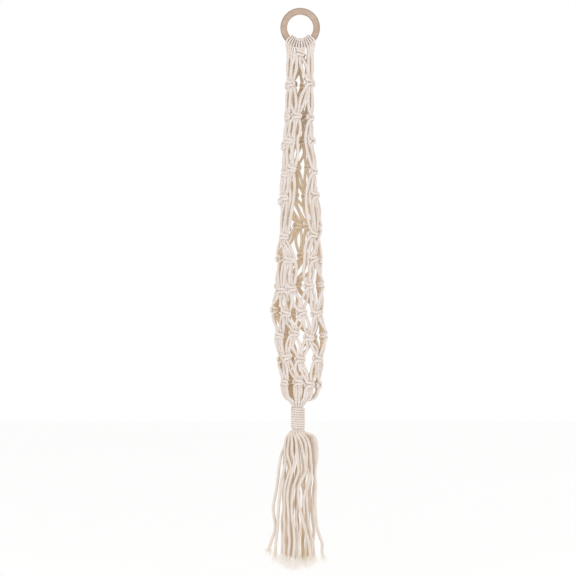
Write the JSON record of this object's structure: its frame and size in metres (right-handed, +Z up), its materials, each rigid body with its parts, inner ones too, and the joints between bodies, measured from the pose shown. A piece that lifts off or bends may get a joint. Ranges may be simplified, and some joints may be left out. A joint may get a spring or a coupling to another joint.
{
  "type": "hanging macrame planter",
  "caption": "Hanging plant holder of knotted cotton cord on a wooden ring, a tubular net with a tall front slit, gathered by a wrap above a loose tassel.",
  "frame": {"origin": "hook seat: the highest point of the ring's hole, where a ceiling hook carries the planter", "axes": "+Z up along the hanging length, +Y to the back, -Y the front with the slit, +X to the viewer's right"},
  "size_m": [0.1074, 0.0502, 0.985],
  "materials": {
    "wood": "smooth sanded light beech, unvarnished",
    "cotton_cord": "soft twisted natural cotton cord, matt"
  },
  "bodies": {
    "ring": {"wooden_ring": "wood"},
    "hanger": {"cord_01": "cotton_cord", "cord_02": "cotton_cord", "cord_03": "cotton_cord", "cord_04": "cotton_cord", "cord_05": "cotton_cord", "cord_06": "cotton_cord", "cord_07": "cotton_cord", "cord_08": "cotton_cord", "cord_09": "cotton_cord", "cord_10": "cotton_cord", "cord_11": "cotton_cord", "cord_12": "cotton_cord", "gathering_wrap": "cotton_cord", "bound_bundle": "cotton_cord", "loose_end_01": "cotton_cord", "loose_end_02": "cotton_cord", "loose_end_03": "cotton_cord", "loose_end_04": "cotton_cord", "loose_end_05": "cotton_cord", "loose_end_06": "cotton_cord", "loose_end_07": "cotton_cord", "loose_end_08": "cotton_cord", "loose_end_09": "cotton_cord", "loose_end_10": "cotton_cord", "loose_end_11": "cotton_cord", "loose_end_12": "cotton_cord", "loose_end_13": "cotton_cord", "loose_end_14": "cotton_cord", "loose_end_15": "cotton_cord", "loose_end_16": "cotton_cord", "loose_end_17": "cotton_cord", "loose_end_18": "cotton_cord", "loose_end_19": "cotton_cord", "loose_end_20": "cotton_cord", "loose_end_21": "cotton_cord", "loose_end_22": "cotton_cord", "loose_end_23": "cotton_cord", "loose_end_24": "cotton_cord"}
  },
  "joints": [
    {"name": "net_swing", "type": "hinge", "parent": "ring", "child": "hanger", "pos_m": [0, 0, -0.0232], "axis": [0, 1, 0], "range_deg": [-60, 60]}
  ]
}
